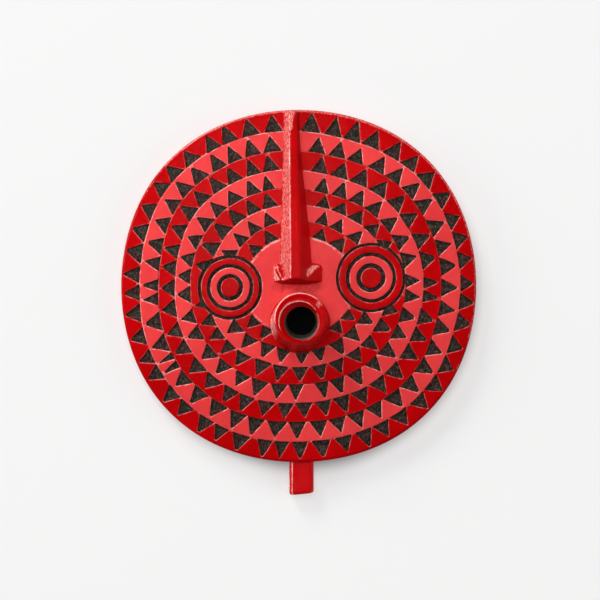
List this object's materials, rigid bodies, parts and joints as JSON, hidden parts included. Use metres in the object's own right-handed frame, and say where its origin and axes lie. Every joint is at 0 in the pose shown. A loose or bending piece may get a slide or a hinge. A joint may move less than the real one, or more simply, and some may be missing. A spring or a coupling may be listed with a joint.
{
  "type": "sun mask",
  "caption": "Round carved wooden sun mask, domed and hollow-backed, with a long nose ridge, ringed eyes, a pierced tube mouth, rows of triangles and a chin peg; worn, held or displayed.",
  "frame": {"origin": "middle of the mask's outline in plan, at the height of the back rim it lies on", "axes": "+Z out of the face, +Y towards the crown (the peg points along -Y), +X to the right as the face is seen"},
  "size_m": [0.3556, 0.3862, 0.081],
  "materials": {
    "painted_wood": "semi-gloss red and coral paint on carved wood, with the cuts blackened"
  },
  "bodies": {
    "root": {"sun_mask": "painted_wood"}
  },
  "joints": []
}
